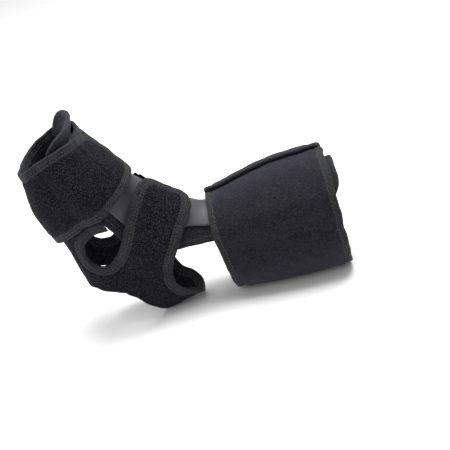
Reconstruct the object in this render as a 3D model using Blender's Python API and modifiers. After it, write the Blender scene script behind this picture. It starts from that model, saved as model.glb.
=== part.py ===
"""Dorsal ankle foot orthosis (night splint), laid on its back as it rests on a table.

A moulded shell runs over the instep and up the shin, on a foam liner. Three soft wraps hold it:
a forefoot wrap, a heel sling whose straps meet over the instep, and a calf wrap. Each closes
with a hook-and-loop flap, which is the piece that moves.

Everything is drawn on a plain limb form. A place on it is (station, angle): the station runs
from the calf (0) over the heel (5) to the toes (11), and the angle runs round the limb from the
front line (0) to the back line (180), positive on the lateral side.
"""

import math

import bmesh
import bpy
import numpy as np
from mathutils import Matrix, Vector

MM = 0.001

# ---- Driving dimensions, in millimetres and degrees ------------------------------------------

# The limb form's sections: front point (up the shin, forward), back point, half width, squareness
# of the front and of the back half. The ankle's centre is at (0, 0).
SECTIONS = np.array([
    (200, 40, 200, -57, 49.0, 2.0, 2.0),
    (130, 39, 130, -58, 48.5, 2.0, 2.0),
    (64, 27, 64, -53, 37.0, 2.0, 2.0),
    (38, 35, 28, -49, 32.0, 2.0, 2.0),
    (20, 48, -16, -56, 33.0, 2.1, 2.1),
    (6, 60, -62, -50, 33.0, 2.2, 2.3),
    (-10, 75, -75, 0, 36.0, 2.3, 2.4),
    (-24, 90, -82, 40, 40.0, 2.4, 2.5),
    (-37, 109, -94, 77, 44.0, 2.4, 2.6),
    (-53, 131, -100, 110, 46.0, 2.4, 2.6),
    (-60, 154, -104, 136, 43.0, 2.4, 2.6),
    (-61, 178, -102, 165, 38.0, 2.4, 2.6),
], float)

# Where the form lies in the part's frame: laid back by this angle, and moved so that the part
# rests on z = 0 with its box centred on the origin. What it rests on is pressed flat there.
LAID_BACK_DEG = 1.2
MOVE_X, MOVE_Y, MOVE_Z = -41.43, 1.0, 59.2

# The stack over the front of the limb, measured out from the form.
LINER_FROM, LINER_THICK = 0.6, 5.5
TONGUE_RISE, TONGUE_CURL = 4.4, 7.0
SHELL_FROM, SHELL_THICK = 6.8, 2.8
PATCH_FROM, PATCH_THICK = 9.9, 0.8
WRAP_FROM, WRAP_THICK = 11.7, 4.0
SKIN_GAP = 0.8
HOOK_GAP, HOOK_THICK = 0.8, 1.2
FLAP_RAISE = WRAP_THICK + HOOK_THICK + 2 * HOOK_GAP
OVER_SLING = 5.8
HINGE_CLEAR = 0.5

TAPE_RADIUS = 2.2
TAPE_GAP = 0.7
CORNER_RADIUS, STRAP_CORNER_RADIUS = 14.0, 9.0
CORNER_STEPS = (0.0, 0.09, 0.29, 0.57, 1.0)
MM_PER_DEGREE = 0.85

# Half widths of shell and liner, as angles at the stations.
SHELL_SPAN = np.array([(0.0, 40), (2.2, 41), (3.3, 46), (4.6, 55), (5.8, 62), (7.5, 62), (9.2, 56)])
LINER_SPAN = np.array([(0.0, 54), (2.2, 54), (2.75, 61), (3.5, 67), (4.6, 70), (6.5, 71), (8.7, 68),
                       (10.4, 66)])
SHELL_ENDS = (0.30, 8.75)
LINER_ENDS = (0.17, 9.82)

CALF_ENDS = (0.32, 2.02)
CALF_SLANT = 0.13
CALF_START, CALF_FIXED_END, CALF_FLAP_ROOT, CALF_FLAP_END = -76, 200, 263, 348
ANKLE_ROOT, ANKLE_FLAP_END, MEDIAL_ARM_END = 90, 9, -32
FOREFOOT_ROOT, BAND_END, FOREFOOT_FLAP_END = 128, 38, 7
ROOT_GAP = 2.5

# ---- The limb form ---------------------------------------------------------------------------


def spline(rows, t):
    """Catmull-Rom curve through the rows, at t from 0 to len(rows) - 1."""
    ends = np.vstack([2 * rows[0] - rows[1], rows, 2 * rows[-1] - rows[-2]])
    t = np.clip(t, 0, len(rows) - 1)
    i = np.minimum(t.astype(int), len(rows) - 2)
    f = (t - i)[..., None]
    a, b, c, d = (ends[i + k] for k in range(4))
    return 0.5 * (2 * b + (c - a) * f + (2 * a - 5 * b + 4 * c - d) * f**2 + (3 * b - a - 3 * c + d) * f**3)


def limb(s, deg):
    """Points of the form in the part's frame, in millimetres: superellipses between front and back."""
    s, phi = np.broadcast_arrays(np.asarray(s, float), np.radians(np.asarray(deg, float)))
    row = spline(SECTIONS, s)
    front, back, width = row[..., 0:2], row[..., 2:4], row[..., 4]
    across = (front - back) / 2
    c, sn = np.cos(phi), np.sin(phi)
    n = row[..., 5] * (1 + c) / 2 + row[..., 6] * (1 - c) / 2
    r = (np.abs(c) ** n + np.abs(sn) ** n) ** (-1 / n)
    side = (front + back) / 2 + across * (r * c)[..., None]
    lean = math.radians(LAID_BACK_DEG)
    x = side[..., 0] * math.cos(lean) - side[..., 1] * math.sin(lean) + MOVE_X
    z = side[..., 0] * math.sin(lean) + side[..., 1] * math.cos(lean) + MOVE_Z
    return np.stack([x, MOVE_Y - width * r * sn, z], -1)


def slopes(s, deg):
    """How the form's point moves with the station and with the angle, and its outward normal."""
    by_s = (limb(s + 1e-3, deg) - limb(s - 1e-3, deg)) / 2e-3
    by_deg = (limb(s, deg + 0.05) - limb(s, deg - 0.05)) / 0.1
    out = np.cross(by_s, by_deg)
    out /= np.linalg.norm(out, axis=-1, keepdims=True)
    return by_s, by_deg, out


def off_limb(places, height):
    """Points in metres above places (station, angle) of the form."""
    s, deg = places[..., 0], places[..., 1]
    out = slopes(s, deg)[2]
    return (limb(s, deg) + out * np.broadcast_to(height, s.shape)[..., None]) * MM


def shifted(line, distance, height):
    """A line of places moved sideways, to its left as seen from outside, by millimetres at a height."""
    out = slopes(line[:, 0], line[:, 1])[2]
    by_s, by_deg = ((off_limb(line + small, height) - off_limb(line - small, height)) / (2 * small.max() * MM)
                    for small in np.array([[0.02, 0.0], [0.0, 1.0]]))
    along = np.gradient(off_limb(line, height), axis=0)
    left = np.cross(out, along)
    left *= distance / np.linalg.norm(left, axis=1, keepdims=True)
    moved = line.copy()
    for i in range(len(line)):
        step = np.linalg.lstsq(np.stack([by_s[i], by_deg[i]], 1), left[i], rcond=None)[0]
        moved[i] += step
    return moved


def ease(x, low, high):
    """0 below low, 1 above high, smooth between."""
    t = np.clip((x - low) / (high - low), 0, 1)
    return t * t * (3 - 2 * t)


def around(deg):
    """An angle brought to -180..180."""
    return (np.asarray(deg, float) + 180) % 360 - 180


def wrap_level(places):
    """Height of a wrap's inner face: over the shell in front, close to the limb at the back."""
    s, deg = places[..., 0], np.abs(around(places[..., 1]))
    shell = np.interp(s, SHELL_SPAN[:, 0], SHELL_SPAN[:, 1])
    liner = np.interp(s, LINER_SPAN[:, 0], LINER_SPAN[:, 1])
    return WRAP_FROM + (SKIN_GAP - WRAP_FROM) * ease(deg, shell + 9, liner + 30)


def liner_level(places):
    """The liner lies on the limb, and its toe end, past the shell, rises and curls up as a tongue."""
    s = places[..., 0]
    return LINER_FROM + TONGUE_RISE * ease(s, 9.05, 9.7) + TONGUE_CURL * ease(s, 9.2, 10.2)


def calf_flap_level(places):
    """The calf flap's level, which rises from the medial panel's to pass over the fixed wrap's end."""
    return wrap_level(places) + FLAP_RAISE * ease(places[..., 1], 256, 283)


def forefoot_level(places):
    """The forefoot wrap's level, raised where it covers the sling's arch piece."""
    deg = np.abs(around(places[..., 1]))
    over_sling = OVER_SLING * ease(deg, 50, 72) * (1 - ease(places[..., 0], 8.2, 8.8))
    return wrap_level(places) + over_sling


def hinge_line(ends, deg, level):
    """A flap's hinge: a point and a direction along the line of its root, just outside the fabric."""
    places = np.stack([np.linspace(*ends, 6), np.full(6, float(deg))], -1)
    points = off_limb(places, level(places) + WRAP_THICK) / MM
    along = (points[-1] - points[0]) / np.linalg.norm(points[-1] - points[0])
    out = slopes(places[:, 0], places[:, 1])[2].mean(axis=0)
    out -= along * out.dot(along)
    out /= np.linalg.norm(out)
    middle = points.mean(axis=0)
    return middle + out * (((points - middle) @ out).max() + HINGE_CLEAR), along


# ---- Making meshes ---------------------------------------------------------------------------

part_collection = None
cutter_collection = None


def material(name, colour, roughness):
    found = bpy.data.materials.get(name)
    if found:
        return found
    made = bpy.data.materials.new(name)
    made.use_nodes = True
    shader = made.node_tree.nodes["Principled BSDF"]
    shader.inputs["Base Color"].default_value = (*colour, 1)
    shader.inputs["Roughness"].default_value = roughness
    return made


FINISHES = {
    "shell_plastic": ((0.12, 0.12, 0.125), 0.45),
    "loop_fabric": ((0.018, 0.018, 0.021), 0.9),
    "smooth_fabric": ((0.017, 0.017, 0.022), 0.8),
    "liner_foam": ((0.012, 0.012, 0.013), 0.9),
    "edge_tape": ((0.024, 0.025, 0.027), 0.75),
    "hook_tape": ((0.01, 0.01, 0.01), 0.6),
}


def add_object(name, data, finish):
    obj = bpy.data.objects.new(name, data)
    data.materials.append(material(finish, *FINISHES[finish]))
    part_collection.objects.link(obj)
    return obj


def patch_mesh(mesh, places, heights):
    """Adds a primitive grid to the bmesh and lays its vertices on the form at the given places."""
    rows, columns = places.shape[:2]
    made = bmesh.ops.create_grid(mesh, x_segments=columns - 1, y_segments=rows - 1, size=1)
    points = off_limb(places, heights).reshape(-1, 3)
    # create_grid numbers its vertices row by row, as a places array does.
    for vertex, point in zip(made["verts"], points):
        vertex.co = point


def sheet(name, patches, level, thick, finish):
    """A soft or moulded sheet: patches laid at a level on the form, joined, then thickened outwards."""
    shape = bmesh.new()
    for places in patches:
        patch_mesh(shape, places, level(places))
    bmesh.ops.remove_doubles(shape, verts=shape.verts, dist=0.00002)
    bmesh.ops.recalc_face_normals(shape, faces=shape.faces)
    face = max(shape.faces, key=lambda f: f.calc_area())
    middle = face.calc_center_median()
    nearest = min((p for patch in patches for p in patch.reshape(-1, 2)),
                  key=lambda p: np.linalg.norm(off_limb(p[None], level(p[None]))[0] - np.array(middle)))
    if face.normal.dot(slopes(nearest[0], nearest[1])[2]) < 0:
        bmesh.ops.reverse_faces(shape, faces=shape.faces)
    data = bpy.data.meshes.new(name)
    shape.to_mesh(data)
    shape.free()
    obj = add_object(name, data, finish)
    thicken = obj.modifiers.new("thickness", "SOLIDIFY")
    thicken.thickness = thick * MM
    thicken.offset = 1.0
    thicken.use_even_offset = True
    return obj


def press_flat(obj):
    """Flattens what lies below z = 0, as soft goods do under the part's own weight."""
    floor = bpy.data.objects.get("floor_cutter")
    if floor is None:
        shape = bmesh.new()
        bmesh.ops.create_cube(shape, size=1)
        bmesh.ops.scale(shape, verts=shape.verts, vec=(0.6, 0.4, 0.04))
        bmesh.ops.translate(shape, verts=shape.verts, vec=(0, 0, -0.02))
        data = bpy.data.meshes.new("floor_cutter")
        shape.to_mesh(data)
        shape.free()
        floor = bpy.data.objects.new("floor_cutter", data)
        floor.hide_render = True
        floor.display_type = "WIRE"
        cutter_collection.objects.link(floor)
    cut = obj.modifiers.new("pressed flat", "BOOLEAN")
    cut.operation = "DIFFERENCE"
    cut.solver = "EXACT"
    cut.object = floor


def tape(name, line, height, closed=False, radius=TAPE_RADIUS, finish="edge_tape"):
    """Edge tape as a round bead along a line of places on the form."""
    points = off_limb(line, height)
    data = bpy.data.curves.new(name, "CURVE")
    data.dimensions = "3D"
    data.bevel_depth = radius * MM
    data.bevel_resolution = 1
    data.use_fill_caps = not closed
    course = data.splines.new("POLY")
    course.points.add(len(points) - 1)
    for point, place in zip(course.points, points):
        point.co = (*place, 1)
    course.use_cyclic_u = closed
    return add_object(name, data, finish)


def edge_tape(name, edge, side, level):
    """Edge tape beside an edge line of a soft sheet, on its left (side 1) or right (side -1)."""
    moved = shifted(edge, side * (TAPE_RADIUS + TAPE_GAP), level(edge) + WRAP_THICK / 2)
    return tape(name, moved, level(moved) + WRAP_THICK / 2)


def strip(angles, low, high, columns, corner=0.0):
    """Places of a strip between two edges, low and high stations at each angle.

    The last end's corners are rounded at the corner radius, if there is one.
    """
    angles = np.asarray(angles, float)
    low, high = np.broadcast_to(low, angles.shape), np.broadcast_to(high, angles.shape)
    middle = (low + high) / 2
    half = (high - low) / 2
    if corner:
        centre = limb(middle, angles)
        steps = np.linalg.norm(np.diff(centre, axis=0), axis=1)
        left = np.concatenate([np.cumsum(steps[::-1])[::-1], [0]])
        across = np.linalg.norm(limb(high, angles) - limb(low, angles), axis=1) / 2
        inner = np.clip(corner - left, 0, corner)
        cut = corner - np.sqrt(corner**2 - inner**2)
        half = half * (1 - cut / across)
    q = np.linspace(-1, 1, columns)
    stations = middle[:, None] + half[:, None] * q
    return np.stack([stations, np.broadcast_to(angles[:, None], stations.shape)], -1)


def end_angles(start, stop, step, corner=CORNER_RADIUS):
    """Angles from start to stop, closer together over the rounded corners at stop."""
    sign = 1 if stop > start else -1
    last = [stop - sign * corner * c / MM_PER_DEGREE for c in CORNER_STEPS][::-1]
    body = np.linspace(start, last[0], max(2, round(abs(last[0] - start) / step) + 1))
    return np.concatenate([body, last[1:]])


def u_tape(name, places, level):
    """Edge tape round the two long edges and the last end of a strip."""
    edge = np.concatenate([places[:, 0], places[-1, 1:-1], places[::-1, -1]])
    turn = 1 if places[-1, 0, 1] > places[0, 0, 1] else -1
    return edge_tape(name, edge, turn, level)


def coons(top, bottom, left, right):
    """Places between four edges that meet at their ends: top and bottom run alike, as left and right do."""
    p = np.linspace(0, 1, len(left))[:, None, None]
    q = np.linspace(0, 1, len(top))[None, :, None]
    ruled = (1 - p) * top[None] + p * bottom[None] + (1 - q) * left[:, None] + q * right[:, None]
    first = (1 - q) * top[0] + q * top[-1]
    last = (1 - q) * bottom[0] + q * bottom[-1]
    return ruled - (1 - p) * first - p * last


def curve(points, count):
    """Evenly spaced places along a smooth line through a few chosen ones."""
    rows = np.array(points, float)
    fine = spline(rows, np.linspace(0, len(rows) - 1, 40 * len(rows)))
    where = limb(fine[:, 0], fine[:, 1])
    run = np.concatenate([[0], np.cumsum(np.linalg.norm(np.diff(where, axis=0), axis=1))])
    at = np.linspace(0, run[-1], count)
    return np.stack([np.interp(at, run, fine[:, k]) for k in (0, 1)], -1)


# ---- The pieces ------------------------------------------------------------------------------


def rounded_panel(ends, span, stations, columns, corner):
    """Places of a long panel on the front line, with its half width as an angle and rounded ends."""
    low, high = ends
    s = np.concatenate([[low, low + 0.04, low + 0.12], np.linspace(low + 0.25, high - 0.3, stations),
                        [high - 0.12, high - 0.04, high]])
    half = np.interp(s, span[:, 0], span[:, 1])
    rows = limb(s, np.zeros(len(s)))
    run = np.concatenate([[0], np.cumsum(np.linalg.norm(np.diff(rows, axis=0), axis=1))])
    for left, size in ((run, corner[0]), (run[-1] - run, corner[1])):
        inner = np.clip(size - left, 0, size)
        half = half - (size - np.sqrt(size**2 - inner**2)) / MM_PER_DEGREE
    q = np.linspace(-1, 1, columns)
    angles = half[:, None] * q
    return np.stack([np.broadcast_to(s[:, None], angles.shape), angles], -1)


def loop_of(places):
    """The closed edge of a grid of places."""
    return np.concatenate([places[:-1, 0], places[-1, :-1], places[:0:-1, -1], places[0, :0:-1]])


def closed_shift(line, distance, height):
    """shifted() for a closed line."""
    wrapped, heights = (np.concatenate([values[-2:], values, values[:2]]) for values in (line, height))
    return shifted(wrapped, distance, heights)[2:-2]


def make_shell_and_liner():
    shell = rounded_panel(SHELL_ENDS, SHELL_SPAN, 20, 13, (16.0, 20.0))
    sheet("dorsal_shell", [shell], lambda p: SHELL_FROM, SHELL_THICK, "shell_plastic")
    liner = rounded_panel(LINER_ENDS, LINER_SPAN, 22, 13, (18.0, 15.0))
    sheet("liner_pad", [liner], liner_level, LINER_THICK, "liner_foam")
    edge = loop_of(liner)
    edge = closed_shift(edge, -(TAPE_RADIUS + TAPE_GAP), liner_level(edge) + LINER_THICK / 2)
    tape("liner_binding", edge, liner_level(edge) + LINER_THICK / 2, closed=True)


def make_hook_patches():
    """The hook patches on the shell that the three wraps hold on to."""
    for name, low, high, half in (("calf_shell_patch", 0.6, 1.75, 20), ("ankle_shell_patch", 3.7, 5.2, 42),
                                  ("forefoot_shell_patch", 6.9, 8.3, 26)):
        rows = strip(np.linspace(-half, half, 11), low, high, 6)
        sheet(name, [rows], lambda p: PATCH_FROM, PATCH_THICK, "hook_tape")


def hang(name, ends, deg, level, pieces):
    """Parents a flap's pieces to an empty on its hinge, whose Z runs along the hinge."""
    point, along = hinge_line(ends, deg, level)
    hinge = bpy.data.objects.new(name, None)
    part_collection.objects.link(hinge)
    turn = Vector(along).to_track_quat("Z", "Y")
    place = Matrix.LocRotScale(Vector(point * MM), turn, None)
    hinge.matrix_world = place
    for piece in pieces:
        piece.parent = hinge
        piece.matrix_parent_inverse = place.inverted()
    return hinge


def calf_edges(deg):
    """The calf wrap's end stations: its ankle end is drawn up towards the knee at the back."""
    low, high = CALF_ENDS
    return low, high - CALF_SLANT * ease(np.abs(around(deg)), 40, 160)


def calf_strip(angles, corner=0.0):
    return strip(angles, *calf_edges(angles), 7, corner)


def make_calf_wrap():
    fixed = calf_strip(end_angles(CALF_FIXED_END, CALF_START, 8.5), CORNER_RADIUS)
    press_flat(sheet("calf_wrap", [fixed], wrap_level, WRAP_THICK, "smooth_fabric"))
    u_tape("calf_wrap_binding", fixed, wrap_level)
    panel = calf_strip(np.linspace(CALF_FIXED_END + 2, CALF_FLAP_ROOT - 1.4, 9))
    hang("calf_panel_hinge", CALF_ENDS, CALF_FIXED_END + 1, calf_flap_level, [
        sheet("calf_medial_panel", [panel], calf_flap_level, WRAP_THICK, "smooth_fabric"),
        edge_tape("calf_panel_binding_upper", panel[:, 0], 1, calf_flap_level),
        edge_tape("calf_panel_binding_lower", panel[:, -1], -1, calf_flap_level),
    ])
    flap = calf_strip(end_angles(CALF_FLAP_ROOT + 1.4, CALF_FLAP_END, 8.5), CORNER_RADIUS)
    low, high = CALF_ENDS
    hooks = strip(np.linspace(300, 338, 6), low + 0.16, high - 0.20, 6)

    def hook_level(places):
        return wrap_level(places) + WRAP_THICK + HOOK_GAP

    hang("calf_flap_hinge", CALF_ENDS, CALF_FLAP_ROOT, calf_flap_level, [
        sheet("calf_flap", [flap], calf_flap_level, WRAP_THICK, "smooth_fabric"),
        u_tape("calf_flap_binding", flap, calf_flap_level),
        sheet("calf_hook_tab", [hooks], hook_level, HOOK_THICK, "hook_tape"),
    ])


def forefoot_edges(deg):
    """Rear and front stations of the forefoot wrap: it slants forward, most on the lateral side."""
    deg = around(deg)
    rear = np.interp(np.abs(deg), [0, 27, 50, 77, 110, 180], [6.4, 6.58, 6.90, 7.12, 7.3, 7.35])
    front = np.interp(deg, [-180, -110, -50, 0, 20, 50, 90, 128, 180],
                      [9.3, 9.3, 9.15, 8.95, 9.12, 9.52, 9.62, 9.42, 9.3])
    return rear, front


def forefoot_flap_level(places):
    """The forefoot flap's level, which rises at the side of the foot to pass over the band's end."""
    return forefoot_level(places) + FLAP_RAISE * (1 - ease(places[..., 1], 48, 80))


def forefoot_hook_level(places):
    """The level of the hook tab between the band and the flap."""
    return forefoot_level(places) + WRAP_THICK + HOOK_GAP


def make_forefoot_wrap():
    angles = end_angles(-360 + FOREFOOT_ROOT + ROOT_GAP, BAND_END, 10)
    band = strip(angles, *forefoot_edges(angles), 7, CORNER_RADIUS)
    sheet("forefoot_band", [band], forefoot_level, WRAP_THICK, "loop_fabric")
    u_tape("forefoot_band_binding", band, forefoot_level)
    angles = end_angles(FOREFOOT_ROOT, FOREFOOT_FLAP_END, 8)
    flap = strip(angles, *forefoot_edges(angles), 7, CORNER_RADIUS)
    hooks = strip(np.linspace(11, 35, 5), 7.0, 8.6, 6)
    root = forefoot_edges(FOREFOOT_ROOT)
    hang("forefoot_flap_hinge", root, FOREFOOT_ROOT + ROOT_GAP / 2, forefoot_level, [
        sheet("forefoot_flap", [flap], forefoot_flap_level, WRAP_THICK, "loop_fabric"),
        u_tape("forefoot_flap_binding", flap, forefoot_flap_level),
        sheet("forefoot_hook_tab", [hooks], forefoot_hook_level, HOOK_THICK, "hook_tape"),
    ])


# The sling's edges on the lateral side. The window lies between the strap, the arch piece and the liner.
STRAP_FRONT = [(5.52, -54), (5.52, -20), (5.58, 10), (5.74, 34), (5.70, 56), (5.50, 75), (5.44, 90),
               (5.55, 105), (5.86, 121)]
STRAP_REAR = [(3.22, -54), (3.16, -20), (3.18, 10), (3.30, 30), (3.50, 48), (3.68, 64), (3.82, 80),
              (3.87, 93), (3.80, 108), (3.62, 122)]
WINDOW_FOOT = [(5.86, 121), (6.14, 129), (6.50, 130.5), (6.80, 122)]
WINDOW_FRONT = [(6.50, 76), (6.70, 90), (6.82, 106), (6.80, 122)]
HEEL_RIM_REAR = [(4.95, 111), (4.60, 116), (4.34, 126), (4.08, 139)]
HEEL_RIM_FRONT = [(5.70, 137), (5.50, 127), (5.25, 117), (4.95, 111)]
RIM_TO_SOLE = [(6.00, 180), (5.88, 158), (5.70, 137)]
RIM_TO_TENDON = [(4.08, 139), (3.86, 158), (3.78, 180)]
TENDON_TOP = [(3.62, 122), (3.44, 133), (3.20, 143), (3.04, 158), (3.00, 180)]
ARCH_FRONT = 8.0


def sling_patches(sign, strap_start):
    """The sling's half on one side (sign 1 lateral, -1 medial), as patches that share their edges."""
    rows = 12 if strap_start < 60 else 6

    def from_start(points):
        line = curve(points, 200)
        order = np.arange(len(line))
        at = np.linspace(np.interp(strap_start, line[:, 1], order), order[-1], rows)
        return np.stack([np.interp(at, order, line[:, k]) for k in (0, 1)], -1)

    front, rear = from_start(STRAP_FRONT), from_start(STRAP_REAR)
    cut_front = np.linspace(WINDOW_FOOT[0], HEEL_RIM_FRONT[0], 4)
    cut_rear = np.linspace(STRAP_REAR[-1], HEEL_RIM_REAR[-1], 4)
    rim = np.concatenate([curve(HEEL_RIM_FRONT, 5), curve(HEEL_RIM_REAR, 5)[1:]])
    left = np.concatenate([front, cut_front[1:]])
    right = np.concatenate([rear, cut_rear[1:]])
    top = np.linspace(front[0], rear[0], 9)
    strap = coons(top, rim, left, right)
    window_foot = curve(WINDOW_FOOT, 5)
    sole_rim = np.concatenate([curve(RIM_TO_SOLE, 6), cut_front[::-1][1:]])
    arch_line = np.linspace((6.85, 180), WINDOW_FOOT[-1], 9)
    arch = coons(np.linspace(sole_rim[0], arch_line[0], 5), window_foot, sole_rim, arch_line)
    ear_edge = curve(WINDOW_FRONT, 6)
    inner = np.concatenate([ear_edge, arch_line[::-1][1:]])
    outer = np.stack([np.full(len(inner), ARCH_FRONT), np.linspace(76, 180, len(inner))], -1)
    band = coons(np.linspace(inner[0], outer[0], 6), np.linspace(inner[-1], outer[-1], 6), inner, outer)
    tendon_top = curve(TENDON_TOP, 9)
    tendon_rim = curve(RIM_TO_TENDON, 9)
    tendon = coons(tendon_top, tendon_rim, cut_rear, np.linspace(tendon_top[-1], tendon_rim[-1], 4))
    side = np.array([1.0, sign])
    edges = {
        "window": np.concatenate([front, window_foot[1:], ear_edge[::-1][1:]]) * side,
        "rear": np.concatenate([rear, tendon_top[1:]]) * side,
        "top": top * side,
    }
    return [piece * side for piece in (strap, arch, band, tendon)], edges


def make_heel_sling():
    level = wrap_level
    lateral, lateral_edges = sling_patches(1, ANKLE_ROOT)
    medial, medial_edges = sling_patches(-1, -MEDIAL_ARM_END)
    press_flat(sheet("heel_sling", lateral + medial, level, WRAP_THICK, "loop_fabric"))
    edge_tape("sling_binding_window_lateral", lateral_edges["window"], -1, level)
    edge_tape("sling_binding_window_medial", medial_edges["window"], 1, level)
    around_tendon = np.concatenate([lateral_edges["rear"], medial_edges["rear"][::-1][1:] + (0, 360)])
    edge_tape("sling_binding_rear", around_tendon, 1, level)


def make_ankle_flap():
    """The lateral strap over the instep, free from its root at the side of the ankle."""
    angles = end_angles(ANKLE_ROOT - 2, ANKLE_FLAP_END, 7, STRAP_CORNER_RADIUS)
    front = curve(STRAP_FRONT, 200)
    rear = curve(STRAP_REAR, 200)
    low = np.interp(angles, rear[:, 1], rear[:, 0])
    high = np.interp(angles, front[:, 1], front[:, 0])
    flap = strip(angles, low, high, 9, STRAP_CORNER_RADIUS)
    hang("ankle_flap_hinge", (low[0], high[0]), ANKLE_ROOT - 1, wrap_level, [
        sheet("ankle_flap", [flap], wrap_level, WRAP_THICK, "loop_fabric"),
        u_tape("ankle_flap_binding", flap, wrap_level),
    ])


def clear_scene():
    for obj in list(bpy.data.objects):
        bpy.data.objects.remove(obj)


def main():
    global part_collection, cutter_collection
    clear_scene()
    part_collection = bpy.data.collections.new("ankle_foot_orthosis")
    cutter_collection = bpy.data.collections.new("cutters")
    bpy.context.scene.collection.children.link(part_collection)
    bpy.context.scene.collection.children.link(cutter_collection)
    make_shell_and_liner()
    make_hook_patches()
    make_calf_wrap()
    make_forefoot_wrap()
    make_heel_sling()
    make_ankle_flap()


main()
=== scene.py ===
"""The looks of a dorsal ankle foot orthosis, a night splint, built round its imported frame.

Lengths are in millimetres until they become mesh points. Every soft piece is drawn on the plain limb
form that the frame's pieces are drawn on. A place on it is (station, angle): the station runs from
the calf (0) over the heel (5) to the toes (11), and the angle runs round the limb from the front
line (0) to the back line (180), positive on the lateral side.
"""

import math

import bpy
import numpy as np
from mathutils import Matrix


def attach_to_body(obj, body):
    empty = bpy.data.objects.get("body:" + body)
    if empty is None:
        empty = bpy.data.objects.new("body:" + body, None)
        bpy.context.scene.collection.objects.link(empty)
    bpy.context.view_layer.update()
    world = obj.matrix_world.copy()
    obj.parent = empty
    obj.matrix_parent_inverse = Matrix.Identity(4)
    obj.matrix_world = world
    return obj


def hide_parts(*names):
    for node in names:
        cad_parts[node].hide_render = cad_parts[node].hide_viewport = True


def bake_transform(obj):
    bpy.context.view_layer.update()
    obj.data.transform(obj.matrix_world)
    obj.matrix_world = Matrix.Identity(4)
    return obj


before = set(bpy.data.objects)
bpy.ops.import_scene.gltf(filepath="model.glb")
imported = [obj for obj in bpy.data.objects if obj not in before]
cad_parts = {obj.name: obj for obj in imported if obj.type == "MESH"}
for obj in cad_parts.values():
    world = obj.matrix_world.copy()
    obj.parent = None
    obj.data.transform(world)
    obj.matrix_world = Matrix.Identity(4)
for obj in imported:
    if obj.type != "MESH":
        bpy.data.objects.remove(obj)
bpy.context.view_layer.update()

MM = 0.001
TURN = 2 * math.pi

# ---- The limb form, as in the part ----

# Front point (up the shin, forward), back point, half width, squareness of front and back half.
SECTIONS = np.array([
    (200, 40, 200, -57, 49.0, 2.0, 2.0),
    (130, 39, 130, -58, 48.5, 2.0, 2.0),
    (64, 27, 64, -53, 37.0, 2.0, 2.0),
    (38, 35, 28, -49, 32.0, 2.0, 2.0),
    (20, 48, -16, -56, 33.0, 2.1, 2.1),
    (6, 60, -62, -50, 33.0, 2.2, 2.3),
    (-10, 75, -75, 0, 36.0, 2.3, 2.4),
    (-24, 90, -82, 40, 40.0, 2.4, 2.5),
    (-37, 109, -94, 77, 44.0, 2.4, 2.6),
    (-53, 131, -100, 110, 46.0, 2.4, 2.6),
    (-60, 154, -104, 136, 43.0, 2.4, 2.6),
    (-61, 178, -102, 165, 38.0, 2.4, 2.6),
], float)
LAID_BACK = math.radians(1.2)
ANKLE = np.array([-41.43, 1.0, 59.2])

# The stack over the front of the limb, measured out from the form.
LINER_MIDDLE, LINER_HALF, TONGUE_RISE, TONGUE_CURL = 3.4, 2.8, 4.4, 7.0
SHELL_MIDDLE, SHELL_HALF = 8.2, 1.4
PATCH_FROM = 9.7
WRAP_FROM, WRAP_THICK = 11.7, 4.0
SKIN_GAP = 0.8
FLAP_RAISE, END_PRESS = 5.6, 0.7
OVER_SLING, STRAP_LIFT = 5.8, 3.6
MIDDLE = WRAP_THICK / 2

CALF_CORNER, FOREFOOT_CORNER, STRAP_CORNER = 18.0, 15.0, 10.0
MM_PER_DEGREE = 0.85

SHELL_SPAN = np.array([(0.0, 40), (2.2, 41), (3.3, 46), (4.6, 55), (5.8, 62), (7.5, 62), (9.2, 56)])
LINER_SPAN = np.array([(0.0, 54), (2.2, 54), (2.75, 61), (3.5, 67), (4.6, 70), (6.5, 71), (8.7, 68),
                       (10.4, 66)])
SHELL_ENDS = (0.30, 8.75)
LINER_ENDS = (0.22, 9.82)

CALF_ENDS = (0.32, 2.02)
CALF_SLANT = 0.13
CALF_START, CALF_FIXED_END, CALF_FLAP_ROOT, CALF_FLAP_END = -76, 201, 263, 348
ANKLE_ROOT, ANKLE_FLAP_END, MEDIAL_ARM_END = 89, 9, -32
FOREFOOT_ROOT, BAND_END, FOREFOOT_FLAP_END = 129, 38, 7

# Where a wrap's cloth is pieced, on the still side of its hinge.
CALF_PIECING, PANEL_PIECING = 186, 232
ANKLE_PIECING, FOREFOOT_PIECING = 97, 150

# The foam: nipped under the binding, full beyond it, with a roll beside it, and slack in waves.
NIPPED_HALF, FOAM_HALF, BESIDE_BINDING = 1.25, 2.1, 0.35
NIPPED_TO, FULL_FROM, ROLL_AT, ROLL_WIDTH = 2.6, 7.5, 8.0, 3.2
SLOW_RIPPLE, QUICK_RIPPLE = 0.26, 0.10

# Bindings are folded over an edge: how far out the fold is, the half height of its outside and
# the tape's own thickness.
FOLD_OUT, FOLD_HALF, TAPE_THICK = 5.0, 2.0, 0.7
TAPE_STEP, PUCKER_PITCH = 1.3, 8.6
STITCH_PITCH, STITCH_LENGTH, STITCH_RADIUS, STITCH_SINK = 3.4, 2.5, 0.40, 0.30

# The lowest heights of what lies on the table: the cloth's two faces, a tape's two, and stitches.
CLOTH_LOW, CLOTH_INSIDE_LOW, TAPE_LOW, TAPE_INSIDE_LOW, STITCH_LOW = 0.05, 2.6, 0.0, 0.6, 0.3

# Hook tape: half its thickness, how far its hooks stand from its middle and how far under a flap it lies;
# its points' spacing; and its stations and half its angle where it lies on the shell.
PATCH_HALF, HOOK_FOOT, UNDER_FLAP = 0.35, 0.3, 0.4
PATCH_STEP, HOOK_PITCH = 1.5, 1.9
SHELL_PATCHES = (("calf", 0.6, 1.75, 20), ("ankle", 3.7, 5.2, 42), ("forefoot", 6.9, 8.3, 26))

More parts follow.
